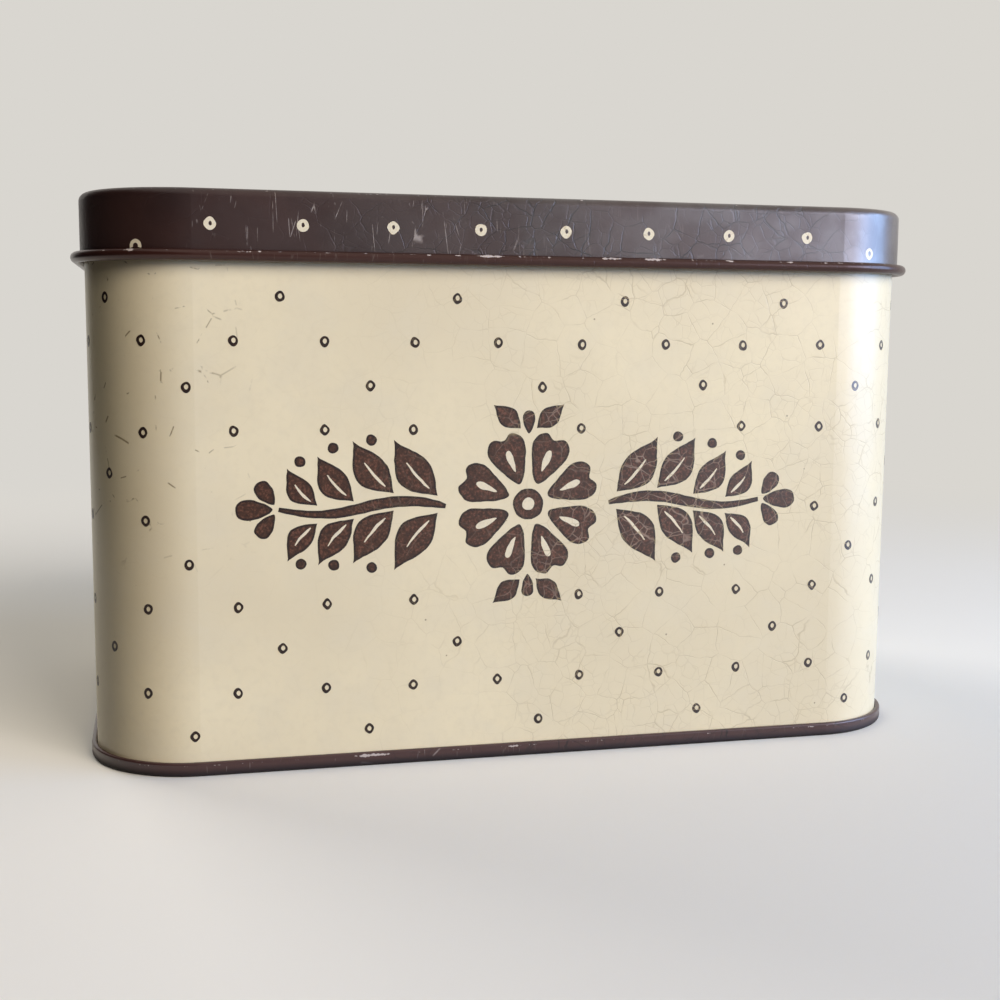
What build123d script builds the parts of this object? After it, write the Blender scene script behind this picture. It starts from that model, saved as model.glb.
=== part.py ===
from build123d import *
import math
import os

# Hinged tinplate recipe card box, in millimetres.
# Origin: middle of the footprint, on the plane that the box stands on. +X right, +Y back, +Z up.

# ---- driving dimensions ----
# tin
body_width = 136.5  # outside of the wall, left to right
body_depth = 88.9  # outside of the wall, front to back
corner_radius = 16.0  # outside of the wall, upright corners
overall_height = 88.9
sheet = 0.25  # tinplate thickness
lap_gap = 0.05  # between folded layers of tinplate

# foot: bottom end plate, double-seamed round the wall
seam_height = 2.2
seam_bend = 0.25  # inside radius where the end plate turns under the wall
hook_bend = 0.075  # inside radius of the hooks
hook_end_gap = 0.1  # between the end of a hook and the fold that it sits in
floor_height = 3.0  # upper face of the end plate's panel
panel_bend = 0.4  # inside radius where the end plate's panel starts

# rim of the wall, curled inwards
rim_curl_radius = 0.75
rim_curl_turn = 270.0
rim_to_lid = 0.15  # between the rim and the underside of the lid

# lock seam down the middle of the back wall
lock_width = 3.6
lock_thickness = 0.7
lock_end_gap = 1.2  # left at the top and the bottom, where the curl and the panel are

# lid
lid_gap = 0.35  # beside and behind the wall
lid_front_gap = 0.73  # in front of the wall, where the lid swings back as it opens
lid_height = 10.65  # top face to the underside of the curl
lid_edge_radius = 1.3  # outside of the top edge
ledge_width = 5.0  # flat border of the top, measured from the skirt's outside
recess_depth = 0.5
recess_slope = 0.8  # width of the slope down to the recess
bead_radius = 0.85  # outward curl along the skirt's lower edge
bead_turn = 295.0

# hinge straps
strap_spacing = 66.0  # between their middles
strap_width = 9.0
strap_thickness = 0.3
strap_clearance = 0.08  # radial, round the lid's curl
strap_slot_gap = 0.05  # all round a strap in its slot
strap_foot = 3.6  # clinched length inside the wall
strap_bend = 0.1  # inside radius of the clinch
window_side_gap = 0.4
window_top_gap = 0.35

# index guides and cards
card_side_room = 4.5  # on each side of a card, to the inside of the wall
card_height = 76.2
card_thickness = 0.25
card_gap = 0.03
cards_per_deck = 6
divider_count = 6
divider_thickness = 0.4
tab_height = 7.5
tab_radius = 2.0
tab_taper = 1.5  # how much narrower a tab is at its top, on each side
card_corner = 1.5
rest_lean = 8.0  # degrees back from upright, lid closed
browse_lean = 32.0  # degrees forward from upright, front guide
foot_gap = 0.15  # least gap between neighbours' feet, fully fanned
foot_clearance = 0.1  # least gap under a foot
wall_clearance = 0.4  # between the last deck and the corners of the back wall
deck_jog = 0.5  # how unevenly the cards of a deck stand

os.makedirs("parts", exist_ok=True)

# ---- sizes that follow ----
half = sheet / 2
layer = sheet + lap_gap
body_top = overall_height - sheet - rim_to_lid
body_back = body_depth / 2

# seam layers, as distances of their middles outward from the wall's outer face
wall_mid = -half
cover_hook_mid = wall_mid + layer
body_hook_mid = wall_mid + 2 * layer
seam_wall_mid = wall_mid + 3 * layer
chuck_wall_mid = wall_mid - layer
panel_edge = chuck_wall_mid - 2 * (panel_bend + half)

# heights of the folds, at the middle of the sheet
end_fold = half
body_fold = end_fold + layer
seam_fold = seam_height - half
panel_mid = floor_height - half
body_hook_end = seam_height - sheet - hook_end_gap
cover_hook_end = body_fold + half + hook_end_gap
hook_turn = hook_bend + half

rim_turn_radius = rim_curl_radius - half
rim_curl_height = body_top - rim_curl_radius

# lid outline: inner face of its skirt
lid_width = body_width + 2 * lid_gap
lid_depth = body_depth + lid_gap + lid_front_gap
lid_middle = (lid_gap - lid_front_gap) / 2
lid_radius = corner_radius + lid_gap
bead_height = overall_height - lid_height + bead_radius
bead_turn_radius = bead_radius - half
edge_turn_radius = lid_edge_radius - half
ledge_mid = overall_height - half
recess_mid = ledge_mid - recess_depth
ledge_edge = sheet - ledge_width
recess_edge = ledge_edge - recess_slope
panel_border = recess_edge - recess_slope

# hinge: the lid's curl turns in the straps
hinge_y = body_back + lid_gap + bead_radius
hinge_z = bead_height
strap_mid_radius = bead_radius + strap_clearance + strap_thickness / 2
strap_inner_mid = body_back - sheet - lap_gap - strap_thickness / 2
window_height = strap_mid_radius + strap_thickness / 2 + window_top_gap

# card file
card_width = body_width - 2 * (sheet + card_side_room)
deck_thickness = cards_per_deck * (card_thickness + card_gap)
group_thickness = divider_thickness + deck_thickness
group_pitch = (group_thickness + foot_gap) / math.cos(math.radians(browse_lean))
guide_height = card_height + tab_height
pivot_height = floor_height + foot_clearance + group_thickness / 2 * math.sin(math.radians(browse_lean))
rear_reach = (card_height + deck_jog) * math.sin(math.radians(rest_lean))
rear_thickness = group_thickness / 2 * math.cos(math.radians(rest_lean))
inner_radius = corner_radius - sheet
card_overhang = card_width / 2 + deck_jog - (body_width / 2 - corner_radius)
corner_room = inner_radius - math.sqrt(inner_radius**2 - max(card_overhang, 0) ** 2)
rear_pivot = body_back - sheet - corner_room - wall_clearance - rear_reach - rear_thickness
tab_width = card_width / divider_count


def wall_outline(offset, width, depth, radius, middle=0.0):
    """A rounded rectangle that stands off an outline by a distance, in the current sketch."""
    with Locations((0, middle)):
        RectangleRounded(width + 2 * offset, depth + 2 * offset, radius + offset)


def wrap(section, width, depth, radius, middle=0.0):
    """Carry a section once round a rounded rectangle, as four straight runs and four turned corners.
    The section's X points outward from the outline and its Y points up."""
    runs = [depth - 2 * radius, width - 2 * radius]
    reach = [width / 2, depth / 2]
    for side in range(4):
        turn = Rotation(0, 0, -90 * side)
        across, along = reach[side % 2], reach[(side + 1) % 2]
        start = turn * Location((across, along - radius, 0))
        outward = (turn * Location((1, 0, 0))).position
        forward = (turn * Location((0, -1, 0))).position
        centre = (turn * Location((across - radius, radius - along, 0))).position + Vector(0, middle, 0)
        here = Plane(origin=start.position + Vector(0, middle, 0), x_dir=outward, z_dir=forward)
        extrude(here * section, amount=runs[side % 2])
        there = here.offset(runs[side % 2])
        revolve(there * section, axis=Axis(centre, (0, 0, -1)), revolution_arc=90)


# ---- body_wall: foot hook, wall and rim curl in one section ----
with BuildSketch() as body_section:
    with BuildLine():
        FilletPolyline(
            (body_hook_mid, body_hook_end),
            (body_hook_mid, body_fold),
            (wall_mid, body_fold),
            (wall_mid, rim_curl_height),
            radius=hook_turn,
        )
        CenterArc((wall_mid - rim_turn_radius, rim_curl_height), rim_turn_radius, 0, rim_curl_turn)
    trace(line_width=sheet)

with BuildPart() as body_wall:
    wrap(body_section.sketch, body_width, body_depth, corner_radius)
    # lock seam: four layers of tinplate pressed to the inside of the back wall
    lock_low = floor_height + lock_end_gap
    lock_high = rim_curl_height - rim_curl_radius - lock_end_gap
    with BuildSketch(Plane.XZ.offset(-(body_back - sheet))) as lock_seam:
        with Locations((0, (lock_low + lock_high) / 2)):
            Rectangle(lock_width, lock_high - lock_low)
    extrude(amount=lock_thickness)
    # slots for the hinge straps
    with BuildSketch(Plane.XZ.offset(-(body_back + sheet))) as strap_slots:
        with Locations((0, hinge_z)):
            with GridLocations(strap_spacing, 2 * strap_mid_radius, 2, 2):
                Rectangle(strap_width + 2 * strap_slot_gap, strap_thickness + 2 * strap_slot_gap)
    extrude(amount=3 * sheet, mode=Mode.SUBTRACT)
body_wall.part.label = "body_wall"

# ---- bottom: recessed panel, and a section folded round the wall's hook ----
with BuildSketch() as end_section:
    with BuildLine():
        FilletPolyline(
            (panel_edge, panel_mid),
            (chuck_wall_mid, panel_mid),
            (chuck_wall_mid, end_fold),
            (seam_wall_mid, end_fold),
            (seam_wall_mid, seam_fold),
            (cover_hook_mid, seam_fold),
            (cover_hook_mid, cover_hook_end),
            radius=[panel_bend + half, seam_bend + half, seam_bend + half, hook_turn, hook_turn],
        )
    trace(line_width=sheet)

with BuildPart() as bottom:
    wrap(end_section.sketch, body_width, body_depth, corner_radius)
    with BuildSketch(Plane.XY.offset(floor_height - sheet)) as panel:
        wall_outline(panel_edge, body_width, body_depth, corner_radius)
    extrude(amount=sheet)
bottom.part.label = "bottom"

# ---- lid: curl, skirt, top edge and ledge in one section, then the recessed panel ----
with BuildSketch() as lid_section:
    with BuildLine():
        CenterArc((half + bead_turn_radius, bead_height), bead_turn_radius, 180, bead_turn)
        FilletPolyline(
            (half, bead_height),
            (half, ledge_mid),
            (ledge_edge, ledge_mid),
            (recess_edge, recess_mid),
            (panel_border, recess_mid),
            radius=[edge_turn_radius, recess_slope / 2, recess_slope / 2],
        )
    trace(line_width=sheet)

with BuildPart() as lid:
    wrap(lid_section.sketch, lid_width, lid_depth, lid_radius, lid_middle)
    with BuildSketch(Plane.XY.offset(recess_mid - half)) as top_panel:
        wall_outline(panel_border, lid_width, lid_depth, lid_radius, lid_middle)
    extrude(amount=sheet)
    # windows in the back of the skirt, where the straps pass over the curl
    with BuildSketch(Plane.XZ.offset(-(hinge_y - bead_radius - lap_gap))) as windows:
        with Locations((0, hinge_z)):
            with GridLocations(strap_spacing, 0, 2, 1):
                Rectangle(
                    strap_width + 2 * window_side_gap,
                    window_height,
                    align=(Align.CENTER, Align.MIN),
                )
    extrude(amount=-(sheet + 2 * lap_gap), mode=Mode.SUBTRACT)
lid.part.label = "lid"

# ---- hinge straps: a staple of tinplate round the curl, clinched inside the wall ----
upper, lower = hinge_z + strap_mid_radius, hinge_z - strap_mid_radius
clinch = strap_bend + strap_thickness / 2
strap_reach = strap_mid_radius + strap_foot


def hinge_strap(middle):
    """A staple of tinplate whose middle stands at the given X."""
    with BuildPart() as strap:
        with BuildSketch(Plane.YZ.offset(middle - strap_width / 2)):
            with BuildLine():
                FilletPolyline(
                    (strap_inner_mid, hinge_z + strap_reach),
                    (strap_inner_mid, upper),
                    (hinge_y, upper),
                    radius=clinch,
                )
                CenterArc((hinge_y, hinge_z), strap_mid_radius, 90, -180)
                FilletPolyline(
                    (hinge_y, lower),
                    (strap_inner_mid, lower),
                    (strap_inner_mid, hinge_z - strap_reach),
                    radius=clinch,
                )
            trace(line_width=strap_thickness)
        extrude(amount=strap_width)
    return strap.part


hinge_strap_left = hinge_strap(-strap_spacing / 2)
hinge_strap_left.label = "hinge_strap_left"
hinge_strap_right = hinge_strap(strap_spacing / 2)
hinge_strap_right.label = "hinge_strap_right"


# ---- card file: guides and decks lean back from their feet, number 1 at the back ----
def leaning_plane(number):
    """Plane of a group: X along the card, Y up the card, normal forward, origin at the foot's middle."""
    pivot = (0, rear_pivot - (number - 1) * group_pitch, pivot_height)
    return Plane(origin=pivot, x_dir=(1, 0, 0), z_dir=(0, -1, 0)).rotated((-rest_lean, 0, 0))


def divider(number):
    """Index guide: a card with a tapered tab, stepped from left to right with its number."""
    tab_middle = -card_width / 2 + (number - 0.5) * tab_width
    with BuildPart() as guide:
        with BuildSketch(leaning_plane(number).offset(group_thickness / 2)):
            with Locations((0, card_height / 2)):
                card = Rectangle(card_width, card_height)
            fillet(card.vertices().group_by(Axis.Y)[0], card_corner)
            with BuildLine():
                left, right = tab_middle - tab_width / 2, tab_middle + tab_width / 2
                tab_edge = FilletPolyline(
                    (left, card_height - tab_radius),
                    (left, card_height),
                    (left + tab_taper, guide_height),
                    (right - tab_taper, guide_height),
                    (right, card_height),
                    (right, card_height - tab_radius),
                    radius=[tab_radius / 2, tab_radius, tab_radius, tab_radius / 2],
                )
                Line(tab_edge @ 1, tab_edge @ 0)
            make_face()
        extrude(amount=-divider_thickness)
    return guide.part


def deck(number):
    """Plain cards filed behind a guide, each its own sheet, standing a little unevenly."""
    with BuildPart() as cards:
        for place in range(cards_per_deck):
            depth = group_thickness / 2 - divider_thickness - card_gap - place * (card_thickness + card_gap)
            jog_x = deck_jog * math.sin(2.4 * (number * cards_per_deck + place))
            jog_y = deck_jog * (1 + math.sin(1.7 * (number * cards_per_deck + place))) / 2
            with BuildSketch(leaning_plane(number).offset(depth)):
                with Locations((jog_x, card_height / 2 + jog_y)):
                    RectangleRounded(card_width, card_height, card_corner)
            extrude(amount=-card_thickness)
    return cards.part


dividers = [divider(number) for number in range(1, divider_count + 1)]
decks = [deck(number) for number in range(1, divider_count + 1)]

# ---- write the pieces ----
export_step(body_wall.part, "parts/body_wall.step")
export_step(bottom.part, "parts/bottom.step")
export_step(lid.part, "parts/lid.step")
export_step(hinge_strap_left, "parts/hinge_strap_left.step")
export_step(hinge_strap_right, "parts/hinge_strap_right.step")
for number, (guide, cards) in enumerate(zip(dividers, decks), start=1):
    guide.label = f"divider_{number}"
    export_step(guide, f"parts/divider_{number}.step")
    cards.label = f"cards_{number}"
    export_step(cards, f"parts/cards_{number}.step")
print("hinge axis", hinge_y, hinge_z)
print("first pivot", rear_pivot, pivot_height, "pitch", group_pitch)
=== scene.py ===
import math
import random
from functools import partial

import bmesh
import bpy
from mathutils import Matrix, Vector, noise


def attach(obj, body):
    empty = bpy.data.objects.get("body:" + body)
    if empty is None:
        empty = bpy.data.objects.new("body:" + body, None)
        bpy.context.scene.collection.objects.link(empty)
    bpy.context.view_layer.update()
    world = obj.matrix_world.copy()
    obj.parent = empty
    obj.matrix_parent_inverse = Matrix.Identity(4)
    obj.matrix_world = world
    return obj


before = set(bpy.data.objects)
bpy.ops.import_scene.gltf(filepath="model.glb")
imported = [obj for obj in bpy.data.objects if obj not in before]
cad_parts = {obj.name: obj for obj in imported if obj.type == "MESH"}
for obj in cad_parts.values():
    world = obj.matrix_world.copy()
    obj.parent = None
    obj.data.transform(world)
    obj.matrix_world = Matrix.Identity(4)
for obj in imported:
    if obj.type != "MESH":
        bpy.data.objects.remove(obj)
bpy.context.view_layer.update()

MM = 0.001

# All sizes of the tin are in mm. Its wall and the lid's skirt, outer faces: half width, half depth, corner radius,
# middle in y
WALL = (68.25, 44.45, 16.0, 0.0)
SKIRT = (68.85, 45.24, 16.6, -0.19)
SEAM_REACH = 210.5  # how far round from the front's middle dots go, to the lock seam at the back
RECESS_TOP = 88.4  # the lid's recessed panel
RECESS_HALF = (63.05, 39.44)
LID_FOOT = 78.25  # underside of the lid's curl
CURL_CREST = 79.7
CURL_TOP = 79.97
LID_EDGE = 88.63  # in the rounding of the lid's top edge
RIM_CURL_FOOT = 87.0
RIM_CREST = (87.9, 88.45)
FOOT_CREST = 1.75
FLOOR_TOP = 3.0
CARD_FOOT = 3.65
REST_LEAN = math.radians(8.0)
GROUP_PITCH = 2.6296  # from one guide to the next
FIRST_PIVOT = 26.834  # y of the rear guide's foot
CARD_PITCH = 0.28  # from one card to the next
RULE_PITCH = 6.35
HEAD_RULE = 63.5
CLOUD = 38  # a cloud of yellowing on the cream

# The print's lattice of ring dots on the wall
DOT_PITCH = 13.6468
DOT_ROW = 6.7153
DOT_START = -60.0823
DOT_TOP = 79.8419
LAST_ROW = 11
ROUND = range(-11, 20)  # the places for dots, once round the tin
LID_DOT_START = -49.6
LID_DOT_PITCH = 13.6
LID_DOT_HEIGHT = 83.7
LID_CORNERS = (65.3, -65.3, 146.5, -146.5)
LOW_DOTS = (57.3, -150.0)
LOW_DOT_HEIGHT = 81.4
ARCHES = (-60.6, 146.5)
ARCH_FOOT = 80.3
# A ring dot's width and height, and its stroke at the sides and at top and foot
WALL_RING = (1.45, 1.68, 0.41, 0.45)
LID_RING = (1.8, 1.88, 0.66, 0.6)
CORNER_RING = (1.6, 1.88, 0.5, 0.5)

ORNAMENT_MIDDLE = (-0.6, 41.0)
LEAF_ANGLE = math.radians(52)
# Each pair of leaves: place on the stem, length, half width
SPRAY_LEAVES = ((0.05, 11.2, 2.8), (0.317, 10.4, 2.6), (0.558, 9.0, 2.3), (0.775, 7.4, 1.9))
# Half a petal's outline, from its root out to its cleft
PETAL = ((3.5, 0.0), (4.3, 0.95), (6.0, 1.85), (7.9, 2.75), (9.5, 3.15), (10.9, 2.65), (11.6, 1.45), (10.9, 0.0))
FILM_FOOT = -0.01  # a print's film starts this far inside the sheet
OUTLINE = 0.34  # the dark line left round each fill

# The set, in metres: where the floor starts and ends its fade, and the flag's line along the floor
FLOOR_RADIUS = 4.0
FLOOR_FADE = (0.11, 0.42)
FLAG_LINE = ((-0.36, 0.42), (-0.33, 0.10), (-0.32, -0.34), (-0.22, -0.62), (0.24, -0.88))
FLAG_HEIGHT = 0.55

CREAM = "#E9DCBA"
CREAM_AGED = "#DDD0B0"
CREAM_GREY = "#DDD2B6"
CRAZE_TAN = "#A8956E"
SPLIT_BROWN = "#75613F"
BROWN = "#241614"
BROWN_WARM = "#301D19"
CRAZE_BLACK = "#120B0A"
SCRATCH = "#B4A9A2"
CURL_RED = "#331A14"
FOOT_BROWN = "#3E2422"
# painted shade at the foot of the seam
FOOT_PAINTED_SHADE = "#140C0B"
INK_BLACK = "#241613"
INK_BROWN = "#40261A"
INK_ROSE = "#6C4536"
INK_CRAZE = "#96806F"
INK_CREAM = "#E2D7BC"
TIN = "#B9B7AF"
TIN_DARK = "#8F8D86"
CHIP = "#BDB1AA"
BOARD = "#CFB386"
BOARD_DARK = "#B4946A"
BOARD_SOIL = "#8F7450"
CARD = "#EDE6D3"
CARD_EDGE = "#D8CFB9"
CARD_FIBRE = "#C9BE9F"
RULE_BLUE = "#8FA6BC"
RULE_RED = "#C0736B"
SPECK = "#6E5636"
RUST = "#6B4630"
FLOOR = "#ECE9E2"
FLOOR_DULL = "#E5E1D9"
FLOOR_BOUNCE = "#5A564F"
BACKDROP = "#D9D6D0"
FLAG_BLACK = "#101010"
SURROUND = "#E9EDF2"
VARNISH_PINK = "#FFE8E4"


def linear(colour):
    """An sRGB hex colour as the linear RGBA that shaders take."""
    channels = [int(colour[i:i + 2], 16) / 255 for i in (1, 3, 5)]
    return tuple(c / 12.92 if c <= 0.04045 else ((c + 0.055) / 1.055) ** 2.4 for c in channels) + (1.0,)


def per(mm):
    """Texture scale for a pattern that repeats about every so many millimetres."""
    return 1 / (mm * MM)


def add(tree, kind, links=None, **settings):
    """Adds a node with its settings. links gives each input, by name or place, a socket to follow, a node whose first
    output it follows, or a value."""
    made = tree.nodes.new(kind)
    for name, value in settings.items():
        setattr(made, name, value)
    for place, source in (links or {}).items():
        if isinstance(source, bpy.types.Node):
            source = source.outputs[0]
        if isinstance(source, bpy.types.NodeSocket):
            tree.links.new(source, made.inputs[place])
        else:
            made.inputs[place].default_value = source
    return made


def new_finish(name):
    """A node material, its tree, and the sockets for the place on the object and the way its surface faces."""
    finish = bpy.data.materials.new(name)
    finish.use_nodes = True
    tree = finish.node_tree
    tree.nodes.clear()
    spot = add(tree, "ShaderNodeTexCoord")
    return finish, tree, spot.outputs["Object"], spot.outputs["Normal"]


def finish_off(tree, colour, roughness, normal, metallic=0.0, coat=0.0, **sheen):
    """Joins a finish's patterns to its shader. sheen holds values that are the same all over."""
    shader = add(tree, "ShaderNodeBsdfPrincipled",
                 {"Base Color": colour, "Roughness": roughness, "Metallic": metallic, "Normal": normal,
                  "Coat Weight": coat})
    for name, value in sheen.items():
        shader.inputs[name.replace("_", " ")].default_value = value
    add(tree, "ShaderNodeOutputMaterial", {"Surface": shader})


def crazed(tree, place, coarse_mm, fine_mm, line_mm, at_left, fine_share):
    """Age crazing of varnish on tinplate: a coarse network of long, nearly straight cracks, and a fine one that shows
    in patches at fine_share of its strength. Both are whole over the tin's right half and fall to at_left at the
    other end. Returns the cracks, 0 to 1."""
    drift = add(tree, "ShaderNodeTexNoise",
                {"Vector": place, "Scale": per(5), "Detail": 3.0, "Roughness": 0.5}).outputs["Color"]
    centred = add(tree, "ShaderNodeVectorMath", {0: drift, 1: (0.5, 0.5, 0.5)}, operation="SUBTRACT")
    swing = add(tree, "ShaderNodeVectorMath", {0: centred, "Scale": 2.2 * MM}, operation="SCALE")
    bent = add(tree, "ShaderNodeVectorMath", {0: place, 1: swing}, operation="ADD")
    gaps = add(tree, "ShaderNodeTexNoise", {"Vector": place, "Scale": per(3), "Detail": 2.0})
    unbroken = add(tree, "ShaderNodeMapRange", {0: gaps, 1: 0.36, 2: 0.58, 3: 0.15, 4: 1.0})
    across = add(tree, "ShaderNodeSeparateXYZ", {0: place}).outputs["X"]
    to_right = add(tree, "ShaderNodeMapRange",
                   {0: across, 1: -40 * MM, 2: 22 * MM, 3: at_left, 4: 1.0}, interpolation_type="SMOOTHSTEP")
    patches = add(tree, "ShaderNodeTexNoise", {"Vector": place, "Scale": per(19), "Detail": 2.0})
    lines = []
    for cell_mm, low, high in ((coarse_mm, 0.32, 0.52), (fine_mm, 0.44, 0.60)):
        edge = add(tree, "ShaderNodeTexVoronoi", {"Vector": bent, "Scale": per(cell_mm)},
                   feature="DISTANCE_TO_EDGE").outputs["Distance"]
        line = add(tree, "ShaderNodeMapRange",
                   {0: edge, 1: 0.0, 2: line_mm / cell_mm, 3: 1.0, 4: 0.0}, interpolation_type="SMOOTHSTEP")
        patch = add(tree, "ShaderNodeMapRange",
                    {0: patches, 1: low, 2: high, 3: 0.2, 4: 1.0}, interpolation_type="SMOOTHSTEP")
        for there in (patch, to_right, unbroken):
            line = add(tree, "ShaderNodeMath", {0: line, 1: there}, operation="MULTIPLY")
        lines.append(line)
    faint = add(tree, "ShaderNodeMath", {0: lines[1], 1: fine_share}, operation="MULTIPLY")
    return add(tree, "ShaderNodeMath", {0: lines[0], 1: faint}, operation="MAXIMUM")


def varnish_left(tree, place, at_left):
    """The share of the clear varnish that is left: whole at the right end, rubbed away to at_left at the left."""
    across = add(tree, "ShaderNodeSeparateXYZ", {0: place}).outputs["X"]
    return add(tree, "ShaderNodeMapRange", {0: across, 1: -55 * MM, 2: 30 * MM, 3: at_left, 4: 1.0})


def worn_dashes(tree, place, middle_mm, length_mm, least, most_mm):
    """Wear in dashes with tapered ends, along a line round the tin at middle_mm up. Where a slow noise passes least
    the dash opens, up to about most_mm to each side. Returns its mask."""
    level = add(tree, "ShaderNodeVectorMath", {0: place, 1: (1, 1, 0)}, operation="MULTIPLY")
    along = add(tree, "ShaderNodeTexNoise",
                {"Vector": level, "Scale": per(length_mm), "Detail": 2.0, "Roughness": 0.6})
    opened = add(tree, "ShaderNodeMapRange", {0: along, 1: least, 2: least + 0.1, 3: 0.0, 4: most_mm * MM})
    height = add(tree, "ShaderNodeSeparateXYZ", {0: place}).outputs["Z"]
    off = add(tree, "ShaderNodeMath", {0: height, 1: middle_mm * MM}, operation="SUBTRACT")
    off = add(tree, "ShaderNodeMath", {0: off}, operation="ABSOLUTE")
    ragged = add(tree, "ShaderNodeTexNoise", {"Vector": place, "Scale": per(0.5), "Detail": 2.0})
    ragged = add(tree, "ShaderNodeMapRange", {0: ragged, 1: 0.3, 2: 0.7, 3: 0.0, 4: most_mm * MM})
    depth = add(tree, "ShaderNodeMath", {0: opened, 1: off}, operation="SUBTRACT")
    depth = add(tree, "ShaderNodeMath", {0: depth, 1: ragged}, operation="SUBTRACT")
    return add(tree, "ShaderNodeMapRange", {0: depth, 1: -0.25 * most_mm * MM, 2: 0.0})


def body_enamel():
    """Lithographed cream enamel under clear varnish on rolled tinplate: pale, slightly yellowed in clouds, crazed,
    with a soft gloss. The inside of the band is bare, dull tin with faint rolling marks."""
    finish, tree, place, facing = new_finish("Cream_litho_enamel_on_tinplate")
    height = add(tree, "ShaderNodeSeparateXYZ", {0: place}).outputs["Z"]

    # The outer face looks away from the tin's middle.
    level = add(tree, "ShaderNodeVectorMath", {0: place, 1: (1, 1, 0)}, operation="MULTIPLY")
    outward = add(tree, "ShaderNodeVectorMath", {0: facing, 1: level}, operation="DOT_PRODUCT").outputs["Value"]
    outer = add(tree, "ShaderNodeMath", {0: outward, 1: 0.0}, operation="GREATER_THAN")
    on_curl = add(tree, "ShaderNodeMath", {0: height, 1: RIM_CURL_FOOT * MM}, operation="GREATER_THAN")
    printed = add(tree, "ShaderNodeMath", {0: outer, 1: on_curl}, operation="MAXIMUM")

    # Yellowing in broad clouds, a greyer cast in smaller ones, and a fine yellow grain.
    cream = linear(CREAM)
    for size_mm, detail, low, high, most, cast in (
        (CLOUD, 3.0, 0.38, 0.66, 1.0, CREAM_AGED),
        (7, 4.0, 0.45, 0.75, 0.55, CREAM_GREY),
        (1.3, 3.0, 0.48, 0.72, 0.35, CREAM_AGED),
    ):
        cloud = add(tree, "ShaderNodeTexNoise", {"Vector": place, "Scale": per(size_mm), "Detail": detail})
        mask = add(tree, "ShaderNodeMapRange", {0: cloud, 1: low, 2: high, 4: most})
        cream = add(tree, "ShaderNodeMix", {0: mask, 6: cream, 7: linear(cast)}, data_type="RGBA").outputs[2]

    cracks = crazed(tree, place, coarse_mm=5.2, fine_mm=2.1, line_mm=0.11, at_left=0.1, fine_share=0.5)
    shade = add(tree, "ShaderNodeMath", {0: cracks, 1: 0.42}, operation="MULTIPLY")
    cream = add(tree, "ShaderNodeMix", {0: shade, 6: cream, 7: linear(CRAZE_TAN)}, data_type="RGBA").outputs[2]

    # By the left front corner the enamel itself has split, in short brown cracks.
    split = add(tree, "ShaderNodeTexVoronoi", {"Vector": place, "Scale": per(6.5)},
                feature="DISTANCE_TO_EDGE").outputs["Distance"]
    split = add(tree, "ShaderNodeMapRange", {0: split, 1: 0.0, 2: 0.022, 3: 1.0, 4: 0.0})
    short = add(tree, "ShaderNodeTexNoise", {"Vector": place, "Scale": per(2.4), "Detail": 3.0})
    short = add(tree, "ShaderNodeMapRange", {0: short, 1: 0.57, 2: 0.62})
    axes = add(tree, "ShaderNodeSeparateXYZ", {0: place})
    left = add(tree, "ShaderNodeMapRange", {0: axes.outputs["X"], 1: -42 * MM, 2: -54 * MM})
    front = add(tree, "ShaderNodeMath", {0: axes.outputs["Y"], 1: -32 * MM}, operation="LESS_THAN")
    upper = add(tree, "ShaderNodeMapRange", {0: height, 1: 30 * MM, 2: 44 * MM})
    for part in (short, left, front, upper):
        split = add(tree, "ShaderNodeMath", {0: split, 1: part}, operation="MULTIPLY")
    cream = add(tree, "ShaderNodeMix", {0: split, 6: cream, 7: linear(SPLIT_BROWN)}, data_type="RGBA").outputs[2]
    cracks = add(tree, "ShaderNodeMath", {0: cracks, 1: split}, operation="MAXIMUM")

    # Fly specks and pinholes about 0.3 mm across, one in a few square centimetres.
    cells = add(tree, "ShaderNodeTexVoronoi", {"Vector": place, "Scale": per(3.4)})
    near = add(tree, "ShaderNodeMath", {0: cells.outputs["Distance"], 1: 0.045}, operation="LESS_THAN")
    pick = add(tree, "ShaderNodeSeparateColor", {0: cells.outputs["Color"]}).outputs["Red"]
    rare = add(tree, "ShaderNodeMath", {0: pick, 1: 0.72}, operation="GREATER_THAN")
    rare = add(tree, "ShaderNodeMath", {0: rare, 1: 0.6}, operation="MULTIPLY")
    speck = add(tree, "ShaderNodeMath", {0: near, 1: rare}, operation="MULTIPLY")
    cream = add(tree, "ShaderNodeMix", {0: speck, 6: cream, 7: linear(SPECK)}, data_type="RGBA").outputs[2]

    # Where the lid slides: fine upright rubs through the varnish. On the curl the enamel is gone from the crest.
    streak_place = add(tree, "ShaderNodeVectorMath", {0: place, 1: (1, 1, 0.06)}, operation="MULTIPLY")
    streak = add(tree, "ShaderNodeTexNoise", {"Vector": streak_place, "Scale": per(0.9), "Detail": 2.0})
    streak_mask = add(tree, "ShaderNodeMapRange", {0: streak, 1: 0.60, 2: 0.74, 4: 0.4})
    under_lid = add(tree, "ShaderNodeMapRange", {0: height, 1: (LID_FOOT - 1) * MM, 2: (LID_FOOT + 4) * MM})
    rub = add(tree, "ShaderNodeMath", {0: streak_mask, 1: under_lid}, operation="MULTIPLY")
    crest = add(tree, "ShaderNodeMapRange", {0: height, 1: RIM_CREST[0] * MM, 2: RIM_CREST[1] * MM})
    crest_noise = add(tree, "ShaderNodeTexNoise", {"Vector": place, "Scale": per(3), "Detail": 4.0})
    crest_wear = add(tree, "ShaderNodeMapRange", {0: crest_noise, 1: 0.42, 2: 0.5})
    crest_bare = add(tree, "ShaderNodeMath", {0: crest, 1: crest_wear}, operation="MULTIPLY")
    worn = add(tree, "ShaderNodeMath", {0: rub, 1: crest_bare}, operation="MAXIMUM")

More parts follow.
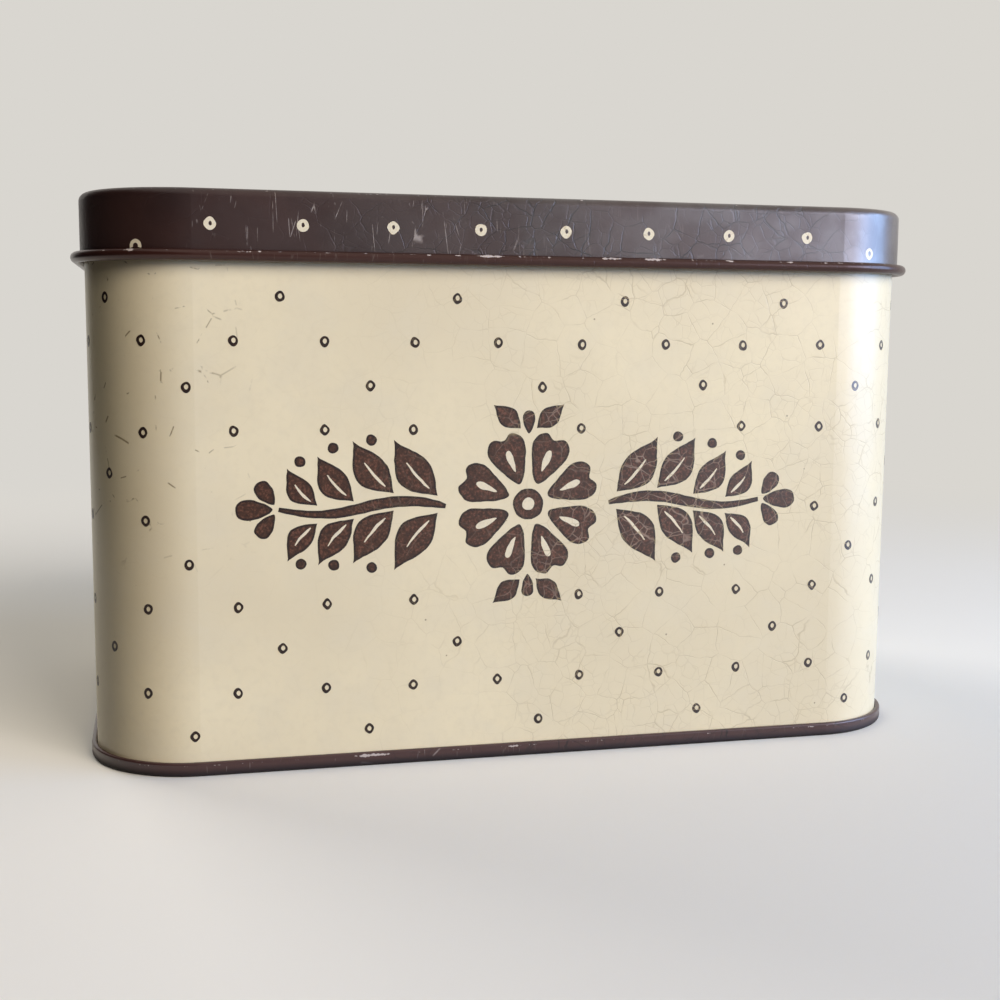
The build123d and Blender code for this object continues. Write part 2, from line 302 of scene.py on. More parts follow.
    # Bare tin: dull grey, streaked along the roll.
    roll_place = add(tree, "ShaderNodeVectorMath", {0: place, 1: (1, 1, 14)}, operation="MULTIPLY")
    roll = add(tree, "ShaderNodeTexNoise", {"Vector": roll_place, "Scale": per(9), "Detail": 5.0})
    tin = add(tree, "ShaderNodeMix", {0: roll, 6: linear(TIN_DARK), 7: linear(TIN)}, data_type="RGBA").outputs[2]

    kept = add(tree, "ShaderNodeMath", {0: 1.0, 1: worn}, operation="SUBTRACT")
    enamel = add(tree, "ShaderNodeMath", {0: printed, 1: kept}, operation="MULTIPLY")
    colour = add(tree, "ShaderNodeMix", {0: enamel, 6: tin, 7: cream}, data_type="RGBA").outputs[2]
    metallic = add(tree, "ShaderNodeMapRange", {0: enamel, 3: 1.0, 4: 0.0})
    handled = add(tree, "ShaderNodeTexNoise", {"Vector": place, "Scale": per(CLOUD), "Detail": 3.0})
    handled = add(tree, "ShaderNodeMapRange", {0: handled, 1: 0.3, 2: 0.7, 3: 0.27, 4: 0.36})
    in_crack = add(tree, "ShaderNodeMix", {0: cracks, 2: handled, 3: 0.6})
    roughness = add(tree, "ShaderNodeMix", {0: enamel, 2: 0.42, 3: in_crack})

    # Cracks sink 0.02 mm, and the band isn't quite flat.
    sway = add(tree, "ShaderNodeTexNoise", {"Vector": place, "Scale": per(30), "Detail": 1.0})
    ripple = add(tree, "ShaderNodeBump", {"Height": sway, "Strength": 0.25, "Distance": 0.5 * MM})
    bump = add(tree, "ShaderNodeBump",
               {"Height": cracks, "Strength": 0.6, "Distance": 0.03 * MM, "Normal": ripple}, invert=True)
    finish_off(tree, colour, roughness, bump, metallic, IOR=1.5)
    return finish


def brown_enamel(name, deep, warm, inside_up):
    """Lithographed dark brown enamel under gloss varnish: nearly black, with a violet-grey bloom in the sheen and
    crazing that catches the light. The lid's curl, whose face is the sheet's back, is lacquered a redder brown.
    inside_up says that the piece is the end plate, whose back is bare tin and faces up into the tin."""
    finish, tree, place, facing = new_finish(name)
    height = add(tree, "ShaderNodeSeparateXYZ", {0: place}).outputs["Z"]
    cloud = add(tree, "ShaderNodeTexNoise", {"Vector": place, "Scale": per(16), "Detail": 4.0})
    cloud_mask = add(tree, "ShaderNodeMapRange", {0: cloud, 1: 0.4, 2: 0.65})
    brown = add(tree, "ShaderNodeMix", {0: cloud_mask, 6: linear(deep), 7: linear(warm)}, data_type="RGBA").outputs[2]

    if inside_up:
        up = add(tree, "ShaderNodeSeparateXYZ", {0: facing}).outputs["Z"]
        faces_up = add(tree, "ShaderNodeMath", {0: up, 1: 0.2}, operation="GREATER_THAN")
        high = add(tree, "ShaderNodeMath", {0: height, 1: (FLOOR_TOP - 0.6) * MM}, operation="GREATER_THAN")
        back = add(tree, "ShaderNodeMath", {0: faces_up, 1: high}, operation="MULTIPLY")
    else:
        # The printed face looks away from the lid's middle, or up.
        reach = add(tree, "ShaderNodeVectorMath", {0: place, 1: (1, 1, 0)}, operation="MULTIPLY")
        reach = add(tree, "ShaderNodeVectorMath", {0: reach, 1: (0, 0, 0.15)}, operation="ADD")
        outward = add(tree, "ShaderNodeVectorMath", {0: facing, 1: reach}, operation="DOT_PRODUCT").outputs["Value"]
        inner = add(tree, "ShaderNodeMath", {0: outward, 1: 0.0}, operation="LESS_THAN")
        curl = add(tree, "ShaderNodeMath", {0: height, 1: CURL_TOP * MM}, operation="LESS_THAN")
        back = add(tree, "ShaderNodeMath", {0: inner, 1: curl}, operation="MAXIMUM")
    behind = TIN if inside_up else CURL_RED
    brown = add(tree, "ShaderNodeMix", {0: back, 6: brown, 7: linear(behind)}, data_type="RGBA").outputs[2]

    cracks = crazed(tree, place, coarse_mm=5.0, fine_mm=2.2, line_mm=0.13, at_left=0.2, fine_share=0.5)
    # The sheet's back has one thin coat, which hardly crazes.
    whole = add(tree, "ShaderNodeMapRange", {0: back, 3: 1.0, 4: 0.2})
    cracks = add(tree, "ShaderNodeMath", {0: cracks, 1: whole}, operation="MULTIPLY")
    brown = add(tree, "ShaderNodeMix", {0: cracks, 6: brown, 7: linear(CRAZE_BLACK)}, data_type="RGBA").outputs[2]

    # Hairline scratches on the upright faces, pale and broken, in three slants, thickest left of the middle.
    scratched = 0.0
    for slant, cell_mm in ((0.42, 3.6), (-0.7, 4.6), (0.14, 2.9)):
        drawn = add(tree, "ShaderNodeMapping", {0: place, 2: (0.0, slant, 0.0), 3: (1.0, 0.0, 0.16)})
        hair = add(tree, "ShaderNodeTexVoronoi", {"Vector": drawn, "Scale": per(cell_mm)},
                   feature="DISTANCE_TO_EDGE").outputs["Distance"]
        hair = add(tree, "ShaderNodeMapRange", {0: hair, 1: 0.002, 2: 0.011, 3: 1.0, 4: 0.0})
        shifted = add(tree, "ShaderNodeVectorMath", {0: place, 1: (0.1 * slant, 0, 0)}, operation="ADD")
        kept = add(tree, "ShaderNodeTexNoise", {"Vector": shifted, "Scale": per(4.5), "Detail": 4.0})
        kept = add(tree, "ShaderNodeMapRange", {0: kept, 1: 0.55, 2: 0.62})
        hair = add(tree, "ShaderNodeMath", {0: hair, 1: kept}, operation="MULTIPLY")
        scratched = add(tree, "ShaderNodeMath", {0: hair, 1: scratched}, operation="MAXIMUM")
    across = add(tree, "ShaderNodeSeparateXYZ", {0: place}).outputs["X"]
    where = add(tree, "ShaderNodeMapRange", {0: across, 1: -24 * MM, 2: 6 * MM, 3: 0.7, 4: 0.08})
    flat = add(tree, "ShaderNodeMath", {0: across, 1: -53 * MM}, operation="GREATER_THAN")
    tip = add(tree, "ShaderNodeSeparateXYZ", {0: facing}).outputs["Z"]
    tip = add(tree, "ShaderNodeMath", {0: tip}, operation="ABSOLUTE")
    upright = add(tree, "ShaderNodeMapRange", {0: tip, 1: 0.5, 2: 0.8, 3: 1.0, 4: 0.0})
    for part in (where, flat, upright, whole):
        scratched = add(tree, "ShaderNodeMath", {0: scratched, 1: part}, operation="MULTIPLY")
    brown = add(tree, "ShaderNodeMix", {0: scratched, 6: brown, 7: linear(SCRATCH)}, data_type="RGBA").outputs[2]
    return finish, tree, place, height, brown, back, cracks


def lid_enamel():
    """Dark brown litho enamel on the drawn lid, chipped to pale primer on its top edge and along the curl's crest."""
    finish, tree, place, _, brown, back, cracks = brown_enamel("Dark_brown_litho_enamel", BROWN, BROWN_WARM,
                                                               inside_up=False)
    # The curl's crest is rubbed through in thin dashes, the top edge knocked in a few short ones.
    crest = worn_dashes(tree, place, CURL_CREST, length_mm=4.5, least=0.55, most_mm=0.24)
    edge = worn_dashes(tree, place, LID_EDGE, length_mm=2.0, least=0.66, most_mm=0.15)
    chip = add(tree, "ShaderNodeMath", {0: crest, 1: edge}, operation="MAXIMUM")
    colour = add(tree, "ShaderNodeMix", {0: chip, 6: brown, 7: linear(CHIP)}, data_type="RGBA").outputs[2]
    smear = add(tree, "ShaderNodeTexNoise", {"Vector": place, "Scale": per(11), "Detail": 5.0})
    gloss = add(tree, "ShaderNodeMapRange", {0: smear, 1: 0.35, 2: 0.7, 3: 0.37, 4: 0.45})
    gloss = add(tree, "ShaderNodeMix", {0: back, 2: gloss, 3: 0.28})
    roughness = add(tree, "ShaderNodeMix", {0: cracks, 2: gloss, 3: 0.65})
    bump = add(tree, "ShaderNodeBump", {"Height": cracks, "Strength": 1.0, "Distance": 0.14 * MM}, invert=True)
    # The varnish has worn in clouds, which the sheen shows as a bloom, and is all but worn away at the left.
    bloom = add(tree, "ShaderNodeTexNoise", {"Vector": place, "Scale": per(6), "Detail": 4.0})
    bloom = add(tree, "ShaderNodeMapRange", {0: bloom, 1: 0.38, 2: 0.6, 3: 0.64, 4: 1.0})
    bloom = add(tree, "ShaderNodeMath", {0: bloom, 1: varnish_left(tree, place, at_left=0.15)}, operation="MULTIPLY")
    varnish = add(tree, "ShaderNodeMix", {0: back, 2: bloom, 3: 0.05})
    finish_off(tree, colour, roughness, bump, coat=varnish, IOR=1.5, Coat_IOR=2.05, Coat_Roughness=0.3,
               Specular_Tint=linear(VARNISH_PINK))
    return finish


def foot_enamel():
    """Brown lacquer on the double-seamed end plate: rubbed to bare tin in dashes along the seam, painted near black
    where it meets the table as painted shade, and bare tin on the side that faces into the tin."""
    finish, tree, place, height, brown, back, _ = brown_enamel("Brown_lacquer_on_seamed_tinplate", FOOT_BROWN,
                                                               FOOT_BROWN, inside_up=True)
    chip = worn_dashes(tree, place, FOOT_CREST, length_mm=8.0, least=0.60, most_mm=0.28)
    # Painted shade: the seam's lowest 1.4 mm fades to near black, standing in for its shaded underside and contact
    # shadow, with less gloss and varnish there
    foot_painted_shade = add(tree, "ShaderNodeMapRange", {0: height, 1: 0.5 * MM, 2: 1.4 * MM, 3: 0.95, 4: 0.0})
    colour = add(tree, "ShaderNodeMix", {0: foot_painted_shade, 6: brown, 7: linear(FOOT_PAINTED_SHADE)}, data_type="RGBA").outputs[2]
    colour = add(tree, "ShaderNodeMix", {0: chip, 6: colour, 7: linear(CHIP)}, data_type="RGBA").outputs[2]
    bare = add(tree, "ShaderNodeMath", {0: chip, 1: back}, operation="MAXIMUM")
    roughness = add(tree, "ShaderNodeMix", {0: bare, 2: 0.38, 3: 0.42})
    roughness = add(tree, "ShaderNodeMix", {0: foot_painted_shade, 2: roughness, 3: 0.75})
    varnish = add(tree, "ShaderNodeMapRange", {0: foot_painted_shade, 3: 0.45, 4: 0.0})
    uneven = add(tree, "ShaderNodeTexNoise", {"Vector": place, "Scale": per(2.6), "Detail": 4.0})
    bump = add(tree, "ShaderNodeBump", {"Height": uneven, "Strength": 0.3, "Distance": 0.04 * MM})
    finish_off(tree, colour, roughness, bump, back, varnish, IOR=1.5, Coat_Roughness=0.22)
    return finish


def strap_tinplate():
    """Bare hot-dipped tinplate strip for the hinge: dull grey, streaked along its length, with rust in small spots."""
    finish, tree, place, _ = new_finish("Bare_tinplate_strip")
    long_place = add(tree, "ShaderNodeVectorMath", {0: place, 1: (9, 1, 1)}, operation="MULTIPLY")
    streak = add(tree, "ShaderNodeTexNoise", {"Vector": long_place, "Scale": per(4), "Detail": 4.0})
    tin = add(tree, "ShaderNodeMix", {0: streak, 6: linear(TIN_DARK), 7: linear(TIN)}, data_type="RGBA").outputs[2]
    spots = add(tree, "ShaderNodeTexNoise", {"Vector": place, "Scale": per(1.3), "Detail": 4.0})
    rust = add(tree, "ShaderNodeMapRange", {0: spots, 1: 0.64, 2: 0.72, 4: 0.7})
    colour = add(tree, "ShaderNodeMix", {0: rust, 6: tin, 7: linear(RUST)}, data_type="RGBA").outputs[2]
    metallic = add(tree, "ShaderNodeMapRange", {0: rust, 3: 1.0, 4: 0.2})
    roughness = add(tree, "ShaderNodeMapRange", {0: streak, 3: 0.34, 4: 0.5})
    bump = add(tree, "ShaderNodeBump", {"Height": streak, "Strength": 0.3, "Distance": 0.02 * MM})
    finish_off(tree, colour, roughness, bump, metallic)
    return finish


def guide_board(k):
    """Smooth manila index board, pressed: warm tan with short fibres, a little darker where fingers take the tab."""
    finish, tree, place, _ = new_finish(f"Manila_index_board_{k}")
    height = add(tree, "ShaderNodeSeparateXYZ", {0: place}).outputs["Z"]
    shifted = add(tree, "ShaderNodeVectorMath", {0: place, 1: (0.13 * k, 0, 0.07 * k)}, operation="ADD")
    fibre_place = add(tree, "ShaderNodeVectorMath", {0: shifted, 1: (0.35, 1, 1)}, operation="MULTIPLY")
    fibre = add(tree, "ShaderNodeTexNoise", {"Vector": fibre_place, "Scale": per(0.5), "Detail": 4.0})
    fibre_mask = add(tree, "ShaderNodeMapRange", {0: fibre, 1: 0.42, 2: 0.66, 4: 0.6})
    tan = add(tree, "ShaderNodeMix", {0: fibre_mask, 6: linear(BOARD), 7: linear(BOARD_DARK)},
              data_type="RGBA").outputs[2]
    soil_cloud = add(tree, "ShaderNodeTexNoise", {"Vector": shifted, "Scale": per(6), "Detail": 3.0})
    by_hand = add(tree, "ShaderNodeMapRange", {0: height, 1: 70 * MM, 2: 86 * MM})
    soil = add(tree, "ShaderNodeMath", {0: soil_cloud, 1: by_hand}, operation="MULTIPLY")
    soil = add(tree, "ShaderNodeMapRange", {0: soil, 1: 0.2, 2: 0.6, 4: 0.4})
    colour = add(tree, "ShaderNodeMix", {0: soil, 6: tan, 7: linear(BOARD_SOIL)}, data_type="RGBA").outputs[2]
    roughness = add(tree, "ShaderNodeMapRange", {0: fibre, 3: 0.6, 4: 0.78})
    bump = add(tree, "ShaderNodeBump", {"Height": fibre, "Strength": 0.35, "Distance": 0.03 * MM})
    finish_off(tree, colour, roughness, bump, IOR=1.5)
    return finish


def card_stock(k):
    """Uncoated index-card stock, printed with a red head rule and blue rules below it: off-white, each card a little
    different, edges toned by age."""
    finish, tree, place, facing = new_finish(f"Ruled_card_stock_{k}")
    # The card's own axes: thickness runs with the lean, and height goes up the card.
    pivot = (0, (FIRST_PIVOT - (k - 1) * GROUP_PITCH) * MM, CARD_FOOT * MM)
    own = add(tree, "ShaderNodeMapping", {0: place, 1: pivot, 2: (REST_LEAN, 0, 0)}, vector_type="TEXTURE")
    axes = add(tree, "ShaderNodeSeparateXYZ", {0: own})
    layer = add(tree, "ShaderNodeMath", {0: axes.outputs["Y"], 1: per(CARD_PITCH)}, operation="MULTIPLY")
    which = add(tree, "ShaderNodeMath", {0: layer}, operation="FLOOR")
    shade = add(tree, "ShaderNodeTexWhiteNoise", {"W": which}, noise_dimensions="1D").outputs["Value"]
    tone = add(tree, "ShaderNodeMapRange", {0: shade, 3: 0.0, 4: 0.55})
    paper = add(tree, "ShaderNodeMix", {0: tone, 6: linear(CARD), 7: linear(CARD_EDGE)}, data_type="RGBA").outputs[2]
    fibre = add(tree, "ShaderNodeTexNoise", {"Vector": place, "Scale": per(0.45), "Detail": 4.0})
    fibre_mask = add(tree, "ShaderNodeMapRange", {0: fibre, 1: 0.45, 2: 0.7, 4: 0.35})
    paper = add(tree, "ShaderNodeMix", {0: fibre_mask, 6: paper, 7: linear(CARD_FIBRE)}, data_type="RGBA").outputs[2]

    up = axes.outputs["Z"]
    steps = add(tree, "ShaderNodeMath", {0: up, 1: per(RULE_PITCH)}, operation="MULTIPLY")
    saw = add(tree, "ShaderNodeMath", {0: steps}, operation="FRACT")
    rule = add(tree, "ShaderNodeMath", {0: saw, 1: 0.055}, operation="LESS_THAN")
    below_head = add(tree, "ShaderNodeMath", {0: up, 1: (HEAD_RULE - 1.5) * MM}, operation="LESS_THAN")
    above_foot = add(tree, "ShaderNodeMath", {0: up, 1: 6.0 * MM}, operation="GREATER_THAN")
    side = add(tree, "ShaderNodeSeparateXYZ", {0: facing}).outputs["Y"]
    on_front = add(tree, "ShaderNodeMath", {0: side, 1: -0.5}, operation="LESS_THAN")
    for part in (below_head, above_foot, on_front):
        rule = add(tree, "ShaderNodeMath", {0: rule, 1: part}, operation="MULTIPLY")
    head = add(tree, "ShaderNodeMath", {0: up, 1: HEAD_RULE * MM, 2: 0.25 * MM}, operation="COMPARE")
    head = add(tree, "ShaderNodeMath", {0: head, 1: on_front}, operation="MULTIPLY")
    colour = add(tree, "ShaderNodeMix", {0: rule, 6: paper, 7: linear(RULE_BLUE)}, data_type="RGBA").outputs[2]
    colour = add(tree, "ShaderNodeMix", {0: head, 6: colour, 7: linear(RULE_RED)}, data_type="RGBA").outputs[2]
    roughness = add(tree, "ShaderNodeMapRange", {0: fibre, 3: 0.75, 4: 0.92})
    bump = add(tree, "ShaderNodeBump", {"Height": fibre, "Strength": 0.3, "Distance": 0.02 * MM})
    finish_off(tree, colour, roughness, bump, IOR=1.5)
    return finish


def litho_ink(name, main, speck, amount, depth, crack):
    """Lithographic ink under the same varnish: a flat colour broken by the press's stipple, with grains about 0.3 mm
    across, and by the crazing that runs on through it. amount and depth say how far the stipple goes to speck and to
    black."""
    finish, tree, place, _ = new_finish(name)
    stipple = add(tree, "ShaderNodeTexNoise", {"Vector": place, "Scale": per(0.36), "Detail": 3.0})
    light = add(tree, "ShaderNodeMapRange", {0: stipple, 1: 0.52, 2: 0.66, 4: amount})
    ink = add(tree, "ShaderNodeMix", {0: light, 6: linear(main), 7: linear(speck)}, data_type="RGBA").outputs[2]
    dark = add(tree, "ShaderNodeMapRange", {0: stipple, 1: 0.48, 2: 0.36, 4: depth})
    ink = add(tree, "ShaderNodeMix", {0: dark, 6: ink, 7: linear(INK_BLACK)}, data_type="RGBA").outputs[2]
    cracks = crazed(tree, place, coarse_mm=5.2, fine_mm=2.1, line_mm=0.11, at_left=0.1, fine_share=1.0)
    shade = add(tree, "ShaderNodeMath", {0: cracks, 1: 0.8}, operation="MULTIPLY")
    colour = add(tree, "ShaderNodeMix", {0: shade, 6: ink, 7: linear(crack)}, data_type="RGBA").outputs[2]
    roughness = add(tree, "ShaderNodeMapRange", {0: cracks, 3: 0.32, 4: 0.6})
    bump = add(tree, "ShaderNodeBump", {"Height": cracks, "Strength": 0.6, "Distance": 0.03 * MM}, invert=True)
    varnish = varnish_left(tree, place, at_left=0.0)
    finish_off(tree, colour, roughness, bump, coat=varnish, IOR=1.42, Coat_Roughness=0.3)
    return finish


def around(outline, s, z, lift):
    """The point s mm round a rounded rectangle from the middle of its front, towards +X, and lift mm off its face."""
    half_width, half_depth, radius, middle = outline
    quarter = radius * math.pi / 2
    runs = (half_width - radius, quarter, 2 * (half_depth - radius), quarter, 2 * (half_width - radius),
            quarter, 2 * (half_depth - radius), quarter, half_width - radius)
    s %= sum(runs)
    x, y, turn = 0.0, -half_depth, 0.0
    for i, run in enumerate(runs):
        part = min(s, run)
        if i % 2 == 0:
            x, y = x + part * math.cos(turn), y + part * math.sin(turn)
        else:
            centre = (x - radius * math.sin(turn), y + radius * math.cos(turn))
            turn += part / radius
            x, y = centre[0] + radius * math.sin(turn), centre[1] - radius * math.cos(turn)
        s -= part
        if s <= 0:
            break
    x, y = x + lift * math.sin(turn), y - lift * math.cos(turn)
    return Vector((x, y + middle, z)) * MM


def place_mesh(name, data, finish):
    """Puts mesh data into the scene under its name and gives it its finish."""
    data.materials.append(finish)
    made = bpy.data.objects.new(name, data)
    bpy.context.scene.collection.objects.link(made)
    return made


def ink_film(name, shapes, put, lift, finish):
    """A printed film, as thin closed slabs. Each shape is an outer loop and a hole, or None, in the print's plane.
    put takes a point of that plane and a lift to the place on the tin."""
    mesh = bmesh.new()
    for outer, hole in shapes:
        top = [mesh.verts.new(put(a, b, lift)) for a, b in outer]
        low = [mesh.verts.new(put(a, b, FILM_FOOT)) for a, b in outer]
        n = len(outer)
        for i in range(n):
            j = (i + 1) % n
            mesh.faces.new((low[i], low[j], top[j], top[i]))
        if hole is None:
            mesh.faces.new(top)
            mesh.faces.new(low[::-1])
            continue
        top_in = [mesh.verts.new(put(a, b, lift)) for a, b in hole]
        low_in = [mesh.verts.new(put(a, b, FILM_FOOT)) for a, b in hole]
        for i in range(n):
            j = (i + 1) % n
            mesh.faces.new((top[i], top[j], top_in[j], top_in[i]))
            mesh.faces.new((top_in[i], top_in[j], low_in[j], low_in[i]))
            mesh.faces.new((low_in[i], low_in[j], low[j], low[i]))
    data = bpy.data.meshes.new(name)
    mesh.to_mesh(data)
    mesh.free()
    return place_mesh(name, data, finish)


def ring_dot(a, b, ring, seed):
    """One hand-drawn ring dot, a blunt lozenge that is thicker at its lower left, as an outer loop and its hole."""
    width, height, wall, cap = ring
    rng = random.Random(seed)
    square, tilt = rng.uniform(0.01, 0.05), rng.uniform(-0.5, 0.5)
    push = (rng.uniform(0.0, 0.06), rng.uniform(0.0, 0.06))
    wobble = [(rng.uniform(-0.04, 0.04), rng.uniform(0, math.tau)) for _ in range(3)]
    outer, hole = [], []
    for i in range(24):
        t = math.tau * i / 24
        r = 1 + square * math.cos(4 * t + tilt)
        r += sum(w * math.cos((k + 2) * t + p) for k, (w, p) in enumerate(wobble))
        x, y = math.cos(t), math.sin(t)
        outer.append((a + x * r * width / 2, b + y * r * height / 2))
        q = 1 + 0.6 * (r - 1)
        hole.append((a + push[0] * width + x * q * (width / 2 - wall),
                     b + push[1] * height + y * q * (height / 2 - cap)))
    return outer, hole


def leaf(root, angle, length, half_width, bend):
    """A leaf outline, pointed at both ends, from its root, with a slight bend."""
    side = [(length * i / 18, half_width * math.sin(math.pi * (i / 18) ** 0.9) ** 1.3) for i in range(19)]
    side[-1] = (length, 0.0)
    loop = side + [(x, -y) for x, y in side[-2:0:-1]]
    return turned([(x, y + bend * math.sin(math.pi * x / length)) for x, y in loop], root, angle)


def drop(root, angle, length, half_width):
    """A drop, as a loaded brush leaves it: pointed at its root, round at its head."""
    side = []
    for i in range(17):
        swell = 1.7 * (0.42 + 0.58 * i / 16) ** 1.6
        side.append((length * (1 - math.cos(math.pi * i / 16)) / 2, half_width * swell * math.sin(math.pi * i / 16)))
    side[0], side[-1] = (0.0, 0.0), (length, 0.0)
    return turned(side + [(x, -y) for x, y in side[-2:0:-1]], root, angle)


def petal(centre, angle):
    """A broad petal with a shallow cleft at its tip, smoothed through the points where a pen would turn."""
    points = list(PETAL) + [(x, -y) for x, y in PETAL[-2:0:-1]]
    loop, n = [], len(points)
    for i in range(n):
        p0, p1, p2, p3 = (points[(i + k) % n] for k in (-1, 0, 1, 2))
        for t in (0.0, 0.25, 0.5, 0.75):
            loop.append(tuple(0.5 * (2 * b + (c - a) * t + (2 * a - 5 * b + 4 * c - d) * t ** 2
                                     + (3 * b - a - 3 * c + d) * t ** 3) for a, b, c, d in zip(p0, p1, p2, p3)))
    return turned(loop, centre, angle)


def berry(a, b, radius):
    """A round outline."""
    return [(a + radius * math.cos(math.tau * i / 28), b + radius * math.sin(math.tau * i / 28)) for i in range(28)]


def stem(line, ends, belly):
    """A brush stroke along a line of points, thin at both ends and thickest a third of the way along."""
    left, right = [], []
    last = len(line) - 1
    for i, (x, y) in enumerate(line):
        x0, y0 = line[max(0, i - 1)]
        x1, y1 = line[min(last, i + 1)]
        run = math.hypot(x1 - x0, y1 - y0)
        half = (ends + (belly - ends) * math.sin(math.pi * (i / last) ** 0.7)) / 2
        nx, ny = -(y1 - y0) / run * half, (x1 - x0) / run * half
        left.append((x + nx, y + ny))
        right.append((x - nx, y - ny))
    return right + left[::-1]


def turned(loop, origin, angle):
    """The loop, turned and then moved to its origin."""
    c, s = math.cos(angle), math.sin(angle)
    return [(origin[0] + x * c - y * s, origin[1] + x * s + y * c) for x, y in loop]


def inset(loop, width):
    """The loop, which runs anticlockwise, drawn in by width."""
    made, n = [], len(loop)
    for i in range(n):
        (x0, y0), (x1, y1), (x2, y2) = loop[i - 1], loop[i], loop[(i + 1) % n]
        a, b = math.hypot(x1 - x0, y1 - y0), math.hypot(x2 - x1, y2 - y1)
        nx = -((y1 - y0) / a + (y2 - y1) / b)
        ny = (x1 - x0) / a + (x2 - x1) / b
        size = max(math.hypot(nx, ny), 0.7)
        x, y = x1 + nx / size * width * min(2 / size, 1.6), y1 + ny / size * width * min(2 / size, 1.6)
        # In a narrow tip the drawn-in line would cross itself, so a point too near the edge is left out.
        if all(off_line((x, y), loop[j - 1], loop[j]) > 0.85 * width for j in range(n)):
            made.append((x, y))
    return made


def off_line(point, start, end):
    """How far a point is from a stretch of line."""
    dx, dy = end[0] - start[0], end[1] - start[1]
    t = ((point[0] - start[0]) * dx + (point[1] - start[1]) * dy) / (dx * dx + dy * dy)
    t = min(max(t, 0.0), 1.0)
    return math.hypot(point[0] - start[0] - t * dx, point[1] - start[1] - t * dy)


def area(loop):
    """The loop's area, below zero where it runs clockwise."""
    return sum(loop[i - 1][0] * loop[i][1] - loop[i][0] * loop[i - 1][1] for i in range(len(loop))) / 2


def spray():
    """One leafy spray to the right of the ornament's middle: a waved stem, four pairs of ribbed leaves with berries
    between their tips, and a bud of three drops. Returns its dark loops and its cream ones."""
    def on_stem(t):
        return 13.4 + 26.0 * t, 0.9 * math.sin(math.tau * t)

    loops, ribs = [stem([on_stem(i / 24) for i in range(25)], 0.7, 1.8)], []
    reach, climb = math.cos(LEAF_ANGLE), math.sin(LEAF_ANGLE)
    for up in (1, -1):
        tips = []
        for place, length, half_width in SPRAY_LEAVES:
            x, y = on_stem(place)
            y += up * 1.35
            loops.append(leaf((x, y), up * LEAF_ANGLE, length, half_width, -0.7 * up))
            rib = []
            for i in range(7):
                t = 0.16 + 0.08 * i
                sag = 0.7 * math.sin(math.pi * t)
                rib.append((x + t * length * reach + sag * climb, y + up * (t * length * climb - sag * reach)))
            ribs.append(stem(rib, 0.16, 0.46))
            tips.append((x + length * reach, y + up * length * climb))
        for (x0, y0), (x1, y1) in zip(tips, tips[1:]):
            loops.append(berry((x0 + x1) / 2 + 0.3, (y0 + y1) / 2 + up * 0.1, 0.85))
    for turn, length, half_width in ((0.0, 5.6, 1.5), (0.95, 4.2, 1.25), (-0.95, 4.2, 1.25)):
        root = (39.8 + 0.5 * math.cos(turn), 0.95 * math.sin(turn))
        loops.append(drop(root, turn, length, half_width))
    return loops, ribs


def front_ornament():
    """The front's printed ornament: an eight-petalled rosette between two leafy sprays, drawn by hand, so its edges
    waver a little. Returns its dark loops and the cream ones left open in them."""
    a, b = ORNAMENT_MIDDLE
    dark, open_ = [berry(a, b, 2.5)], [berry(a, b, 1.0)]
    for i in range(8):
        turn = math.tau * (i + 0.5) / 8
        dark.append(petal((a, b), turn))
        open_.append(drop((a + 5.6 * math.cos(turn), b + 5.6 * math.sin(turn)), turn, 3.6, 0.5))
    for up in (1, -1):
        dark.append(drop((a, b + up * 11.3), up * math.pi / 2, 3.6, 0.95))
        for side in (1, -1):
            dark.append(leaf((a + side * 1.3, b + up * 12.1), up * math.radians(90 - side * 50), 5.8, 1.6, 0.0))
    for side in (1, -1):
        for made, kept in zip(spray(), (dark, open_)):
            kept += [[(a + side * x, b + y) for x, y in loop] for loop in made]
    drawn = []
    for loops in (dark, open_):
        wavered = []
        for loop in loops:
            if area(loop) < 0:
                loop = loop[::-1]
            wavered.append([(x + 0.12 * noise.noise(Vector((x * 0.9, y * 0.9, 3.0))),
                             y + 0.12 * noise.noise(Vector((x * 0.9, y * 0.9, 9.0)))) for x, y in loop])
        drawn.append(wavered)
    return drawn


def near_loops(a, b, loops, room):
    """Whether a point is inside one of the loops or within room of a corner of one."""
    return any(inside(a, b, loop) or any(math.hypot(a - x, b - y) < room for x, y in loop) for loop in loops)


def inside(a, b, loop):
    """Whether the loop goes round a point."""
    odd = False
    for i in range(len(loop)):
        (x0, y0), (x1, y1) = loop[i - 1], loop[i]
        if (y0 > b) != (y1 > b) and a < (x1 - x0) * (b - y0) / (y1 - y0) + x0:
            odd = not odd
    return odd


def wall_dots(loops):
    """The wall's ring dots: rows 6.7 mm apart, each second one with half as many dots. None is under the ornament."""
    rings = []
    for row in range(1, LAST_ROW + 1):
        z = DOT_TOP - row * DOT_ROW
        if row % 2 == 0:
            columns = ROUND
        else:
            first = -0.5 if row % 4 == 1 else 0.5
            columns = [first + 2 * m for m in range(-6, 11)]
        for i in columns:
            s = DOT_START + DOT_PITCH * i
            if abs(s) > SEAM_REACH or near_loops(s, z, loops, room=1.75):
                continue
            rng = random.Random(1000 * row + int(2 * i) + 77)
            a, b = s + rng.uniform(-0.25, 0.25), z + rng.uniform(-0.2, 0.2)
            rings.append(ring_dot(a, b, WALL_RING, rng.random()))
    return rings


